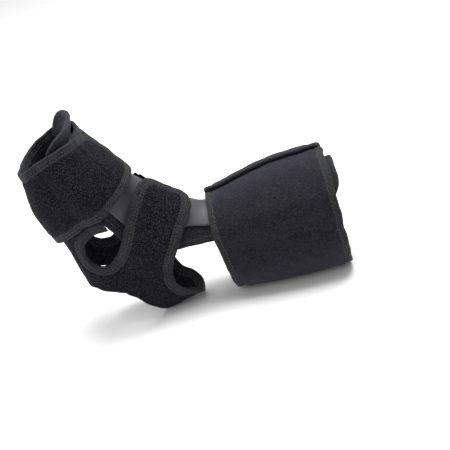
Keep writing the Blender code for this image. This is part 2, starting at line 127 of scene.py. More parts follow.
# Points round a stitch and a hook, and the angles over which an edge is drawn sharp.
STITCH_SIDES, HOOK_SIDES = 5, 4
CLOTH_SHARP, ROUND_SHARP = 48, 80

# Stations at which the two points over each hinge are taken.
CALF_BEND, ANKLE_BEND, FOREFOOT_BEND = 1.1, 4.6, 8.2


def spline(rows, t):
    """Catmull-Rom curve through the rows, at t from 0 to len(rows) - 1."""
    ends = np.vstack([2 * rows[0] - rows[1], rows, 2 * rows[-1] - rows[-2]])
    t = np.clip(t, 0, len(rows) - 1)
    i = np.minimum(t.astype(int), len(rows) - 2)
    f = (t - i)[..., None]
    a, b, c, d = (ends[i + k] for k in range(4))
    return 0.5 * (2 * b + (c - a) * f + (2 * a - 5 * b + 4 * c - d) * f**2 + (3 * b - a - 3 * c + d) * f**3)


def to_part(along):
    """A direction (up the shin, forward, lateral) of the leg, in the part's frame."""
    up, forward, lateral = along[..., 0], along[..., 1], along[..., 2]
    x = up * math.cos(LAID_BACK) - forward * math.sin(LAID_BACK)
    z = up * math.sin(LAID_BACK) + forward * math.cos(LAID_BACK)
    return np.stack([x, -lateral, z], -1)


def limb(s, deg):
    """Points of the form: superellipses between the front and the back line, at (station, angle)."""
    s, phi = np.broadcast_arrays(np.asarray(s, float), np.radians(np.asarray(deg, float)))
    row = spline(SECTIONS, s)
    front, back, width = row[..., 0:2], row[..., 2:4], row[..., 4]
    c, sn = np.cos(phi), np.sin(phi)
    n = row[..., 5] * (1 + c) / 2 + row[..., 6] * (1 - c) / 2
    r = (np.abs(c) ** n + np.abs(sn) ** n) ** (-1 / n)
    side = (front + back) / 2 + (front - back) / 2 * (r * c)[..., None]
    return ANKLE + to_part(np.stack([side[..., 0], side[..., 1], width * r * sn], -1))


def unit(vectors):
    """Vectors made one long."""
    return vectors / np.linalg.norm(vectors, axis=-1, keepdims=True)


def slopes(places):
    """How the form's point moves with the station and with the angle, and its outward normal."""
    s, deg = places[..., 0], places[..., 1]
    ds, ddeg = 1e-3, 0.05
    by_s = (limb(s + ds, deg) - limb(s - ds, deg)) / (2 * ds)
    by_deg = (limb(s, deg + ddeg) - limb(s, deg - ddeg)) / (2 * ddeg)
    return by_s, by_deg, unit(np.cross(by_s, by_deg))


def off_limb(places, height):
    """Points above places of the form."""
    return limb(places[..., 0], places[..., 1]) + slopes(places)[2] * np.asarray(height)[..., None]


def ease(x, low, high):
    """0 below low, 1 above high, smooth between."""
    t = np.clip((x - low) / (high - low), 0, 1)
    return t * t * (3 - 2 * t)


def around(deg):
    """An angle brought to -180..180."""
    return (np.asarray(deg, float) + 180) % 360 - 180


def smoothed(values, count):
    """A running mean of an odd count of values, with the ends repeated."""
    return np.convolve(np.pad(values, count // 2, mode="edge"), np.full(count, 1 / count), mode="valid")


def run_along(points):
    """How far along a line each of its points lies."""
    return np.concatenate([[0], np.cumsum(np.linalg.norm(np.diff(points, axis=0), axis=1))])


def read_off(at, run, rows):
    """Each column of some rows, read off at places along the rows' run."""
    return np.stack([np.interp(at, run, column) for column in rows.T], -1)


def run_of_stations():
    """Stations, and how far along the limb's side each one lies, in millimetres."""
    s = np.linspace(0, len(SECTIONS) - 1, 400)
    return s, run_along(limb(s, np.full(s.shape, 90.0)))


STATIONS, RUN = run_of_stations()


def cut_of(places):
    """Where a place lies in the flat cloth: round the limb and along it, in millimetres."""
    return np.stack([places[..., 1] * MM_PER_DEGREE, np.interp(places[..., 0], STATIONS, RUN)], -1)


def ripple(places):
    """The slack of worn foam: a few slow waves over the cloth, under half a millimetre high."""
    deg = around(places[..., 1])
    u, v = np.moveaxis(cut_of(np.stack([places[..., 0], deg], -1)), -1, 0)
    slow = np.sin(TURN * (u / 34 + 0.25 * np.sin(TURN * v / 51))) * np.sin(TURN * (v / 41 + 0.2))
    off_seam = ease(180 - np.abs(deg), 0, 30)
    return SLOW_RIPPLE * slow + QUICK_RIPPLE * np.sin(TURN * (u / 15 + v / 19)) * off_seam


# ---- Levels: the height of a wrap's inner face over the form ----

# How far beyond the shell and the liner, in degrees, a wrap comes down to the limb.
PAST_SHELL, PAST_LINER = 9, 30

# The angles or stations between which a level goes from one height to the next.
STRAP_COMES_DOWN = (10, 50)
CALF_FLAP_RISES, CALF_END_PRESSED = (256, 283), (336, 348)
SLING_BELOW, SLING_BEHIND = (50, 72), (8.05, 9.2)
FOREFOOT_COMES_DOWN = (48, 80)
TONGUE_RISES, TONGUE_CURLS = (9.05, 9.7), (9.2, 10.2)
CREASE_DEPTH, CREASE_WIDTH = 0.9, 2.6


def wrap_level(places):
    """Over the shell in front, close to the limb at the back."""
    s, deg = places[..., 0], np.abs(around(places[..., 1]))
    shell = np.interp(s, SHELL_SPAN[:, 0], SHELL_SPAN[:, 1])
    liner = np.interp(s, LINER_SPAN[:, 0], LINER_SPAN[:, 1])
    return WRAP_FROM + (SKIN_GAP - WRAP_FROM) * ease(deg, shell + PAST_SHELL, liner + PAST_LINER)


def strap_level(places):
    """The ankle strap's level: its end is stiff and stands off the shell a little."""
    return wrap_level(places) + STRAP_LIFT * (1 - ease(places[..., 1], *STRAP_COMES_DOWN))


def calf_flap_level(places):
    """The wrap's level, which rises from the medial panel's to pass over the fixed wrap's end.

    The flap's own end is pressed down to the wrap it closes on.
    """
    raised = FLAP_RAISE * ease(places[..., 1], *CALF_FLAP_RISES)
    return wrap_level(places) + raised - END_PRESS * ease(places[..., 1], *CALF_END_PRESSED)


def forefoot_level(places):
    """The forefoot wrap's level, raised where it covers the sling's arch piece."""
    deg = np.abs(around(places[..., 1]))
    behind = 1 - ease(places[..., 0], *SLING_BEHIND)
    return wrap_level(places) + OVER_SLING * ease(deg, *SLING_BELOW) * behind


def forefoot_flap_level(places):
    """The forefoot flap's level, which rises at the side of the foot to pass over the band's end.

    The band's bound end shows through as a crease, a narrow groove beside a narrow ridge.
    """
    beside = (places[..., 1] - BAND_END) / CREASE_WIDTH
    crease = -CREASE_DEPTH * beside * np.exp(-(beside**2))
    raised = FLAP_RAISE * (1 - ease(places[..., 1], *FOREFOOT_COMES_DOWN))
    return forefoot_level(places) + raised + crease


def shell_level(places):
    """The shell lies at an even height over the liner."""
    return np.full(places.shape[:-1], SHELL_MIDDLE - MIDDLE)


def liner_level(places):
    """The liner lies on the limb, and its toe end, past the shell, rises and curls up as a tongue."""
    raised = TONGUE_RISE * ease(places[..., 0], *TONGUE_RISES)
    return LINER_MIDDLE - MIDDLE + raised + TONGUE_CURL * ease(places[..., 0], *TONGUE_CURLS)


# ---- Meshes ----


def add_object(name, data):
    """A new object in the scene."""
    made = bpy.data.objects.new(name, data)
    bpy.context.scene.collection.objects.link(made)
    return made


def add_mesh(name, points, faces, uv=None, sharp=CLOTH_SHARP):
    """A mesh object from points in millimetres and arrays of faces with three or four corners a row."""
    data = bpy.data.meshes.new(name)
    corners = np.concatenate([block.ravel() for block in faces])
    totals = np.concatenate([np.full(len(block), block.shape[1]) for block in faces])
    data.vertices.add(len(points))
    data.vertices.foreach_set("co", (points * MM).astype(np.float32).ravel())
    data.loops.add(len(corners))
    data.loops.foreach_set("vertex_index", corners.astype(np.int32))
    data.polygons.add(len(totals))
    data.polygons.foreach_set("loop_start", (np.cumsum(totals) - totals).astype(np.int32))
    data.update(calc_edges=True)
    if uv is not None:
        layer = data.uv_layers.new(name="cut")
        layer.uv.foreach_set("vector", (uv[corners] * MM).astype(np.float32).ravel())
    data.validate()
    data.shade_smooth()
    data.set_sharp_from_angle(angle=math.radians(sharp))
    return add_object(name, data)


def grid_faces(rows, columns, ring=False):
    """The faces of a grid of points numbered row by row; a ring's last row meets its first."""
    row = np.arange(rows if ring else rows - 1)[:, None]
    column = np.arange(columns - 1)[None, :]
    here = row * columns + column
    there = (row + 1) % rows * columns + column
    return np.stack([here, here + 1, there + 1, there], -1).reshape(-1, 4)


def closed_sheet(name, outer, inner, faces, uv, sharp=CLOTH_SHARP):
    """A sheet with both its faces, and a wall along each open edge, as one closed skin."""
    a, b, c, d = (outer[faces[:, k]] for k in range(4))
    if (np.cross(c - a, d - b) * (outer - inner)[faces[:, 0]]).sum() < 0:
        faces = faces[:, ::-1]
    count = len(outer)
    start, end = faces.ravel(), np.roll(faces, -1, axis=1).ravel()
    open_edge = ~np.isin(start * count + end, end * count + start)
    start, end = start[open_edge], end[open_edge]
    walls = np.stack([end, start, start + count, end + count], -1)
    blocks = [faces, faces[:, ::-1] + count, walls]
    return add_mesh(name, np.concatenate([outer, inner]), blocks, np.concatenate([uv, uv]), sharp)


def above_floor(points, lowest):
    """Points pressed up to a height where they would lie lower."""
    return np.maximum(points, (-np.inf, -np.inf, lowest))


def distance_to(points, lines):
    """The distance of each point to the nearest of some lines, straight between their points."""
    nearest, count = np.full(len(points), np.inf), 4000
    for line in lines:
        a, along = line[:-1], np.diff(line, axis=0)
        for low in range(0, len(points), count):
            block = points[low:low + count, None] - a
            t = np.clip((block * along).sum(-1) / (along**2).sum(-1), 0, 1)
            away = np.linalg.norm(block - t[..., None] * along, axis=-1).min(axis=1)
            nearest[low:low + count] = np.minimum(nearest[low:low + count], away)
    return nearest


def even(line, count=None, closed=False):
    """A line of places resampled evenly along the form: so many, or else a tape's step apart."""
    if closed:
        line = np.concatenate([line, line[:1]])
    run = run_along(limb(line[:, 0], line[:, 1]))
    count = count or max(4, round(run[-1] / TAPE_STEP) + 1)
    fine = read_off(np.linspace(0, run[-1], count), run, line)
    return fine[:-1] if closed else fine


def sideways(line, height, closed=False):
    """How a line's places move when it is shifted to its left, as seen from outside, by a millimetre.

    The step to the left is solved for its station and its angle from the form's two slopes there.
    """
    if closed:
        wrapped = np.concatenate([line[-3:], line, line[:3]])
        return sideways(wrapped, np.concatenate([height[-3:], height, height[:3]]))[3:-3]
    by_s, by_deg = ((off_limb(line + d, height) - off_limb(line - d, height)) / (2 * d.max())
                    for d in np.array([[0.02, 0.0], [0.0, 1.0]]))
    left = unit(np.cross(slopes(line)[2], np.gradient(off_limb(line, height), axis=0)))
    ss, sd, dd = (by_s * by_s).sum(1), (by_s * by_deg).sum(1), (by_deg * by_deg).sum(1)
    sl, dl = (by_s * left).sum(1), (by_deg * left).sum(1)
    whole = ss * dd - sd**2
    return np.stack([(sl * dd - dl * sd) / whole, (dl * ss - sl * sd) / whole], -1)


# ---- Cloth ----


def foam_half(away):
    """Half the foam's thickness at a distance from its bound edge: nipped, then a roll, then full."""
    full = NIPPED_HALF + (FOAM_HALF - NIPPED_HALF) * ease(away, NIPPED_TO, FULL_FROM)
    return full + BESIDE_BINDING * np.exp(-(((away - ROLL_AT) / ROLL_WIDTH) ** 2))


def cloth(name, patches, level, bound):
    """Laminated foam, and its area: patches of places joined at their edges, half out and half in.

    The middle of the sheet is the form's point moved out by the level, half the wrap and the ripple.
    """
    faces, start = [], 0
    for patch in patches:
        faces.append(grid_faces(*patch.shape[:2]) + start)
        start += patch.shape[0] * patch.shape[1]
    every = np.concatenate([patch.reshape(-1, 2) for patch in patches])
    places, joined = np.unique(every.round(5), axis=0, return_inverse=True)
    faces = joined.ravel()[np.concatenate(faces)]
    height = level(places) + MIDDLE + ripple(places)
    middle, out = off_limb(places, height), slopes(places)[2]
    edges = [off_limb(line, level(line) + MIDDLE) for line in bound]
    half = foam_half(distance_to(middle, edges))[:, None]
    outer = above_floor(middle + out * half, CLOTH_LOW)
    inner = above_floor(middle - out * half, CLOTH_INSIDE_LOW)
    a, b, c, d = (middle[faces[:, k]] for k in range(4))
    area = float(np.linalg.norm(np.cross(c - a, d - b), axis=1).sum() / 2) * MM**2
    return closed_sheet(name, outer, inner, faces, cut_of(places)), area


def strip(angles, low, high, step, corner=0.0):
    """Places of a strip between two edges, low and high stations at each angle, about a step apart.

    The last end's corners are round: the half width is less by a quarter circle's depth there.
    """
    low, high = np.broadcast_to(low, angles.shape), np.broadcast_to(high, angles.shape)
    middle, half = (low + high) / 2, (high - low) / 2
    across = np.linalg.norm(limb(high, angles) - limb(low, angles), axis=1) / 2
    if corner:
        steps = np.linalg.norm(np.diff(limb(middle, angles), axis=0), axis=1)
        left = np.concatenate([np.cumsum(steps[::-1])[::-1], [0]])
        inner = np.clip(corner - left, 0, corner)
        half = half * (1 - (corner - np.sqrt(corner**2 - inner**2)) / across)
    q = np.linspace(-1, 1, round(2 * across.max() / step) + 1)
    stations = middle[:, None] + half[:, None] * q
    return np.stack([stations, np.broadcast_to(angles[:, None], stations.shape)], -1)


def angles_to(start, stop, step, corner=0.0):
    """Angles a step of millimetres apart, and even steps of arc over the round corners at the end."""
    sign = 1 if stop > start else -1
    if not corner:
        return np.linspace(start, stop, round(abs(stop - start) * MM_PER_DEGREE / step) + 1)
    last = corner * (1 - np.sin(np.linspace(0, math.pi / 2, 14))) / MM_PER_DEGREE
    body = np.linspace(start, stop - sign * last[0],
                       round(abs(stop - start) * MM_PER_DEGREE / step) + 1)
    return np.concatenate([body, stop - sign * last[1:]])


def u_edge(places):
    """The two long edges and the last end of a strip, as one line."""
    return np.concatenate([places[:, 0], places[-1, 1:-1], places[::-1, -1]])


def coons(top, bottom, left, right):
    """Places between four edges that meet at their ends: both ruled surfaces less the corners' own."""
    p = np.linspace(0, 1, len(left))[:, None, None]
    q = np.linspace(0, 1, len(top))[None, :, None]
    ruled = (1 - p) * top[None] + p * bottom[None] + (1 - q) * left[:, None] + q * right[:, None]
    first = (1 - q) * top[0] + q * top[-1]
    last = (1 - q) * bottom[0] + q * bottom[-1]
    return ruled - (1 - p) * first - p * last


def curve(points, count):
    """Evenly spaced places along a smooth line through a few chosen ones."""
    rows = np.array(points, float)
    return even(spline(rows, np.linspace(0, len(rows) - 1, 60 * len(rows))), count)


# ---- Bindings and stitches ----


def fold_profile(width, out, half, row_depths):
    """Outside and inside of a tape folded over an edge, as (outward, height) points.

    The legs run level to the fold, a half circle, with a dent of half a millimetre at each
    stitch row, and roll in at their ends.
    """
    leg = np.linspace(out - width, out - half, 16)
    dent = sum(0.5 * np.exp(-(((leg - (out - width + depth)) / 0.8) ** 2)) for depth in row_depths)
    roll = 0.5 * np.exp(-(((leg - (out - width)) / 0.7) ** 2))
    turn = np.radians(np.linspace(90, -90, 11))[1:-1]

    def skin(radius, less):
        top = np.stack([leg, half - less - dent - roll], -1)
        nose = np.stack([out - half + radius * np.cos(turn), radius * np.sin(turn)], -1)
        return np.concatenate([top, nose, (top * (1, -1))[::-1]])

    return skin(half, 0.0), skin(half - TAPE_THICK, TAPE_THICK)


def tube_faces(rings, sides):
    """The faces between rings of points, numbered ring by ring."""
    ring = np.arange(sides)
    after = np.roll(ring, -1)
    faces = np.stack([ring, after, sides + after, sides + ring], -1)
    return np.concatenate([faces + k * sides for k in range(rings - 1)])


def capsule():
    """A short thread, lengthwise along x: rings of points round it, closed at both ends."""
    rings = np.array([(-0.5, 0.35), (-0.36, 0.85), (0.0, 1.0), (0.36, 0.85), (0.5, 0.35)])
    turn = np.linspace(0, TURN, STITCH_SIDES, endpoint=False)
    x = np.repeat(rings[:, 0], STITCH_SIDES) * STITCH_LENGTH
    thick = rings[:, 1, None] * STITCH_RADIUS
    y, z = (thick * np.cos(turn)).ravel(), (thick * np.sin(turn)).ravel()
    z = z - 0.5 * (2 * x / STITCH_LENGTH) ** 2 * STITCH_RADIUS
    ring = np.arange(1, STITCH_SIDES - 1)
    last = np.stack([ring, ring + 1, np.zeros(len(ring), int)], -1)
    first = last[:, [1, 0, 2]]
    last = last + STITCH_SIDES * (len(rings) - 1)
    return np.stack([x, y, z], -1), [tube_faces(len(rings), STITCH_SIDES)[:, ::-1], first, last]


def copies(name, template, centres, along, out):
    """Copies of a small shape, its x laid along and its z pointing out at each centre, as one mesh."""
    points, faces = template
    side = unit(np.cross(out, along))
    along = np.cross(side, out)
    x, y, z = (points[None, :, k, None] for k in range(3))
    placed = centres[:, None] + x * along[:, None] + y * side[:, None] + z * out[:, None]
    shift = (np.arange(len(centres)) * len(points))[:, None, None]
    blocks = [(block[None] + shift).reshape(-1, block.shape[1]) for block in faces]
    return add_mesh(name, placed.reshape(-1, 3), blocks, sharp=ROUND_SHARP)


def stitch_run(points, out):
    """Centres, directions and normals of stitches an even pitch apart along a line of points."""
    run = run_along(points)
    at = np.arange(STITCH_PITCH, run[-1] - STITCH_PITCH / 2, STITCH_PITCH)
    found = [read_off(at, run, rows) for rows in (points, np.gradient(points, axis=0), out)]
    return [found[0], unit(found[1]), unit(found[2])]


def binding(name, edge, side, level, width, rows=(2.3,), out=FOLD_OUT, half=FOLD_HALF, closed=False,
            pucker=0.0, lift=0.0):
    """A tape folded over an edge, on its left (side 1) or right (side -1), and its rows of stitches.

    The fold's profile is carried along the edge; the legs' ends wave by the pucker.
    """
    line = even(edge, closed=closed)
    step = sideways(line, level(line) + MIDDLE, closed) * side
    run = np.arange(len(line)) * TAPE_STEP
    outside, inside = fold_profile(width, out, half, rows)
    wave = pucker * np.sin(TURN * run / PUCKER_PITCH) * (1 + 0.5 * np.sin(TURN * run / 37))
    slack = 0.18 * np.sin(TURN * run / 23.0) + 0.08 * np.sin(TURN * run / 9.7 + 1)

    def laid(x, h):
        """The profile's points along the line, at outward distances x and heights h over the middle."""
        x = x[None, :] + slack[:, None] + wave[:, None] * ease(out - half - x, 0, width / 2)[None, :]
        places = line[:, None] + x[..., None] * step[:, None]
        return off_limb(places, level(places) + MIDDLE + ripple(places) + lift + h[None, :])

    skin, lining = (laid(profile[:, 0], profile[:, 1]) for profile in (outside, inside))
    skin, lining = above_floor(skin, TAPE_LOW), above_floor(lining, TAPE_INSIDE_LOW)
    uv = np.stack(np.broadcast_arrays(run[:, None], run_along(outside)[None, :]), -1)
    made = [closed_sheet(name, skin.reshape(-1, 3), lining.reshape(-1, 3),
                         grid_faces(len(line), len(outside), closed), uv.reshape(-1, 2))]
    runs = []
    normal = slopes(line)[2]
    for depth in rows:
        for face in (1, -1):
            points = laid(np.array([out - width + depth]), np.array([face * (half - STITCH_SINK)]))[:, 0]
            runs.append(stitch_run(above_floor(points, STITCH_LOW), normal * face))
    if runs:
        centres, along, away = (np.concatenate(parts) for parts in zip(*runs))
        made.append(copies(name + "_stitches", capsule(), centres, along, away))
    return made


# ---- Finishes ----


class Value:
    """One socket's value in a finish. Arithmetic on it adds Math nodes."""

    def __init__(self, finish, socket):
        self.finish, self.socket = finish, socket

    def math(self, operation, *inputs):
        return self.finish.node("ShaderNodeMath", {"operation": operation}, dict(enumerate(inputs)))

    def __add__(self, other):
        return self.math("ADD", self, other)

    def __mul__(self, other):
        return self.math("MULTIPLY", self, other)

    __radd__ = __add__

    def sine(self):
        return self.math("SINE", self)

    def ramp(self, low, high):
        """0 below low, 1 above high, straight between, kept to 0..1."""
        inputs = {"Value": self, "From Min": low, "From Max": high}
        return self.finish.node("ShaderNodeMapRange", {"clamp": True}, inputs)


def fabric(name, roughness, sheen, sheen_roughness, tint, specular):
    """A cloth's finish, before what varies over it."""
    return Finish(name, roughness=roughness, sheen_weight=sheen, sheen_roughness=sheen_roughness,
                  sheen_tint=(*tint, 1), specular_ior_level=specular)


class Finish:
    """A material with one Principled shader."""

    def __init__(self, name, **constants):
        self.material = bpy.data.materials.new(name)
        self.material.use_nodes = True
        self.tree = self.material.node_tree
        self.shader = self.tree.nodes["Principled BSDF"]
        for key, value in constants.items():
            self.shader.inputs[key.replace("_", " ").title().replace("Ior", "IOR")].default_value = value

    def node(self, kind, settings, inputs, output=0):
        """Adds a node: its settings first, then its sockets' values or links. Gives one output's value."""
        made = self.tree.nodes.new(kind)
        for key, value in settings.items():
            setattr(made, key, value)
        for key, value in inputs.items():
            if isinstance(value, Value):
                self.tree.links.new(value.socket, made.inputs[key])
            else:
                made.inputs[key].default_value = value
        return Value(self, made.outputs[output])

    def cut(self):
        """The place in the flat cloth, in metres, as two values."""
        uv = self.node("ShaderNodeUVMap", {"uv_map": "cut"}, {})
        return [self.node("ShaderNodeSeparateXYZ", {}, {0: uv}, k) for k in (0, 1)]

    def noise(self, size, detail=2.0, roughness=0.5, at=None):
        """Noise of about the given size in metres."""
        at = at or self.node("ShaderNodeTexCoord", {}, {}, "Object")
        inputs = {"Vector": at, "Scale": 1 / size, "Detail": detail, "Roughness": roughness}
        return self.node("ShaderNodeTexNoise", {}, inputs)

    def mix(self, factor, dark, light):
        """A colour from dark to light by a factor."""
        inputs = {0: factor, 6: (*dark, 1), 7: (*light, 1)}
        return self.node("ShaderNodeMix", {"data_type": "RGBA"}, inputs, 2)

    def wear(self, colour, roughness=None, height=None, depth=0.0, strength=0.0):
        """Links what varies over the surface: colour, roughness and a height that becomes the normal."""
        if height:
            inputs = {"Height": height, "Distance": depth, "Strength": strength}
            height = self.node("ShaderNodeBump", {}, inputs)
        for key, value in (("Base Color", colour), ("Roughness", roughness), ("Normal", height)):
            if value:
                self.tree.links.new(value.socket, self.shader.inputs[key])
        return self.material


def loop_fabric():
    """Brushed loop pile: black curls with light flecks where they catch the light."""
    finish = fabric("loop_fabric", 0.9, 0.02, 0.4, (0.75, 0.78, 0.9), 0.10)
    curls = finish.noise(0.0011, 0.0)
    fuzz = finish.noise(0.0006, 1.0)
    fleck = curls.ramp(0.42, 0.70) * 0.85 + fuzz.ramp(0.4, 0.8) * 0.15
    colour = finish.mix(fleck, (0.0004, 0.0004, 0.0008), (0.0230, 0.0225, 0.0300))
    return finish.wear(colour, None, curls * 0.8 + fuzz * 0.4, depth=0.0009, strength=1.0)


def smooth_fabric():
    """Fine knitted face of laminated foam: rows of small stitches, blue black, with more sheen."""
    finish = fabric("smooth_fabric", 0.8, 0.15, 0.35, (0.70, 0.70, 0.95), 0.16)
    u, v = finish.cut()
    wales = (u * (TURN / 0.0011)).sine()
    courses = (v * (TURN / 0.0009) + wales * 0.9).sine()
    rough = finish.noise(0.0015, 1.0, 0.6)
    drift = finish.noise(0.022, 2.0)
    tone = courses * 0.08 + wales * 0.06 + rough.ramp(0.38, 0.66) * 0.9 + drift * 0.5
    colour = finish.mix(tone.ramp(0.1, 1.3), (0.0012, 0.0011, 0.0024), (0.0170, 0.0160, 0.0245))
    return finish.wear(colour, None, wales * 0.25 + courses * 0.25 + rough * 0.9, depth=0.00045, strength=0.9)


def edge_tape():
    """Woven binding: fine ribs across the tape, cords along it, lighter than the cloth it binds."""
    finish = fabric("edge_tape", 0.8, 0.08, 0.4, (0.8, 0.84, 0.9), 0.18)
    u, v = finish.cut()
    ribs = (u * (TURN / 0.0010)).sine()
    cords = (v * (TURN / 0.0016)).sine()
    rough = finish.noise(0.0016, 1.0, 0.6)
    drift = finish.noise(0.018, 1.0)
    tone = ribs * 0.10 + cords * 0.10 + rough.ramp(0.38, 0.66) * 0.8 + drift * 0.5
    colour = finish.mix(tone.ramp(0.1, 1.2), (0.0030, 0.0031, 0.0038), (0.0270, 0.0273, 0.0310))
    return finish.wear(colour, None, ribs * 0.35 + cords * 0.2 + rough * 0.6, depth=0.0004, strength=0.9)


def thread():
    """Bonded thread, a little lighter than the tape it holds."""
    finish = Finish("thread", roughness=0.55, specular_ior_level=0.4)
    ply = finish.noise(0.0006, 1.0)
    colour = finish.mix(ply.ramp(0.3, 0.7), (0.016, 0.016, 0.018), (0.044, 0.044, 0.048))
    return finish.wear(colour, None, ply, depth=0.0001, strength=0.6)


def shell_plastic():
    """Moulded satin plastic, grey, with faint lengthwise drawing lines and handling scuffs."""
    finish = Finish("shell_plastic", specular_ior_level=0.22)
    u, v = finish.cut()
    stretched = finish.node("ShaderNodeCombineXYZ", {}, {0: u * 14.0, 1: v * 0.6, 2: 0.0})
    lines = finish.noise(0.016, 3.0, 0.6, stretched)
    cloud = finish.noise(0.012, 3.0)
    grain = finish.noise(0.0007, 1.0)
    tone = (lines * 0.6 + cloud * 0.4).ramp(0.3, 0.7)
    colour = finish.mix(tone, (0.036, 0.036, 0.039), (0.060, 0.060, 0.064))
    roughness = 0.38 + cloud * 0.14 + lines * 0.08
    return finish.wear(colour, roughness, grain * 0.5 + lines * 0.5, depth=0.00008, strength=0.5)


def liner_foam():
    """Brushed cloth face of the liner's foam."""
    finish = fabric("liner_foam", 0.9, 0.08, 0.5, (0.75, 0.78, 0.88), 0.15)
    nap = finish.noise(0.0015, 1.0, 0.6)
    drift = finish.noise(0.015, 2.0)
    tone = (nap * 0.7 + drift * 0.3).ramp(0.38, 0.66)
    colour = finish.mix(tone, (0.0016, 0.0016, 0.0024), (0.022, 0.022, 0.028))
    return finish.wear(colour, None, nap, depth=0.0005, strength=0.7)


def hook_tape():
    """Nylon hook tape, black and a little shiny."""
    finish = Finish("hook_tape", specular_ior_level=0.5)
    weave = finish.noise(0.0009, 1.0)
    colour = finish.mix(weave.ramp(0.3, 0.7), (0.006, 0.006, 0.007), (0.020, 0.020, 0.022))
    return finish.wear(colour, 0.42 + weave * 0.2, weave, depth=0.0002, strength=0.6)


FINISHES = {make.__name__: make() for make in (loop_fabric, smooth_fabric, edge_tape, thread, shell_plastic,
                                               liner_foam, hook_tape)}


def dress(piece, finish):
    """Gives a piece its finish."""
    piece.data.materials.append(FINISHES[finish])


def bind(made):
    """Finishes a binding and its stitches, and gives them back."""
    for piece, finish in zip(made, ("edge_tape", "thread")):
        dress(piece, finish)
    return made


def attach(pieces, bodies, start=None, end=None):
    """Rides pieces on one body, or else, given two points, only bakes their placing into their meshes."""
    for piece in pieces:
        if start is None:
            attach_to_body(piece, bodies)
        else:
            tuple(start * MM)
            tuple(end * MM)
            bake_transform(piece)


def across_hinge(station, start, end):
    """Two points over a hinge, at angles before and after it."""
    return off_limb(np.array([(station, start), (station, end)]), np.full(2, MIDDLE))


def declare(places, node):
    """Hides the frame node that a strip of cloth stands for."""
    row = off_limb(places, MIDDLE)
    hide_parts(node)


# ---- Shell and liner ----


def rounded_panel(ends, span, corner, rows, columns):
    """Places of a long panel on the front line, with round ends, crowded to its edges by a sine."""
    t = np.sin(np.linspace(-math.pi / 2, math.pi / 2, rows))
    s = (ends[0] + ends[1]) / 2 + (ends[1] - ends[0]) / 2 * t
    half = smoothed(np.interp(s, span[:, 0], span[:, 1]), 11)
    run = run_along(limb(s, np.zeros(len(s))))
    for left, size in ((run, corner[0]), (run[-1] - run, corner[1])):
        inner = np.clip(size - left, 0, size)
        half = half - (size - np.sqrt(size**2 - inner**2)) / MM_PER_DEGREE
    q = np.sin(np.linspace(-math.pi / 2, math.pi / 2, columns))
    angles = half[:, None] * q
    return np.stack([np.broadcast_to(s[:, None], angles.shape), angles], -1)


def loop_of(places):
    """The closed edge of a grid of places."""
    return np.concatenate([places[:-1, 0], places[-1, :-1], places[:0:-1, -1], places[0, :0:-1]])


def panel(name, places, level, half, edge_radius):
    """A moulded or cushioned panel: full half thickness, less a round edge of the given radius."""
    flat = places.reshape(-1, 2)
    centre, out = off_limb(flat, level(flat) + MIDDLE), slopes(flat)[2]
    edge = loop_of(places)
    edge = np.concatenate([edge, edge[:1]])
    away = distance_to(centre, [off_limb(edge, level(edge) + MIDDLE)])
    depth = np.clip(1 - away / edge_radius, 0, 1)
    thick = (half * np.sqrt(1 - 0.98 * depth**2))[:, None]
    return closed_sheet(name, centre + out * thick, centre - out * thick, grid_faces(*places.shape[:2]),
                        cut_of(flat), sharp=ROUND_SHARP)


def make_shell():
    places = rounded_panel(SHELL_ENDS, SHELL_SPAN, (16.0, 20.0), 230, 76)
    shell = panel("dorsal_shell_moulding", places, shell_level, SHELL_HALF, SHELL_HALF)
    dress(shell, "shell_plastic")
    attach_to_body(shell, "frame")
    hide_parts("dorsal_shell")


def make_liner():
    places = rounded_panel(LINER_ENDS, LINER_SPAN, (18.0, 15.0), 220, 80)
    liner = panel("liner_cushion", places, liner_level, LINER_HALF, 9.0)
    dress(liner, "liner_foam")
    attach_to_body(liner, "frame")
    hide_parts("liner_pad")
    pieces = bind(binding("liner_piping", loop_of(places), -1, liner_level, 8.0, half=2.3, closed=True))
    attach(pieces, "frame")
    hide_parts("liner_binding")


# ---- Hook tape ----


def hook():
    """One hook: a tapered square stem that leans over at its tip, ending in a point."""
    path = np.array([(0.0, 0.0, 0.32), (0.0, 0.5, 0.26), (0.12, 0.85, 0.22), (0.42, 0.98, 0.16)])
    turn = np.linspace(0, TURN, HOOK_SIDES, endpoint=False)
    x = (path[:, 0, None] + path[:, 2, None] * np.cos(turn)).ravel()
    y = (path[:, 2, None] * np.sin(turn)).ravel()
    z = np.repeat(path[:, 1], HOOK_SIDES)
    points = np.concatenate([np.stack([x, y, z], -1), [(0.62, 0.0, 0.72)]])
    ring = np.arange(HOOK_SIDES)
    last = ring + HOOK_SIDES * (len(path) - 1)
    tip = np.stack([last, np.roll(last, -1), np.full(HOOK_SIDES, len(points) - 1)], -1)
    return points, [np.concatenate([tube_faces(len(path), HOOK_SIDES), ring[None, ::-1]]), tip]


def hook_patch(name, low, high, start, stop, level, facing, body, node):
    """Hook tape: a thin woven backing and a field of hooks on its face."""
    angles = angles_to(start, stop, PATCH_STEP)
    places = strip(angles, low, high, PATCH_STEP)
    flat = places.reshape(-1, 2)
    base, out = off_limb(flat, level(flat)), slopes(flat)[2]
    backing = closed_sheet(name, base + out * PATCH_HALF, base - out * PATCH_HALF,
                           grid_faces(*places.shape[:2]), cut_of(flat))
    places = strip(angles[1:-1], low, high, HOOK_PITCH)[:, 1:-1].reshape(-1, 2)
    centre, out = off_limb(places, level(places) + HOOK_FOOT * facing), slopes(places)[2] * facing
    field = copies(name + "_hooks", hook(), centre, unit(slopes(places)[1]), out)
    for piece in (backing, field):
        dress(piece, "hook_tape")
        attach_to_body(piece, body)
    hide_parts(node)


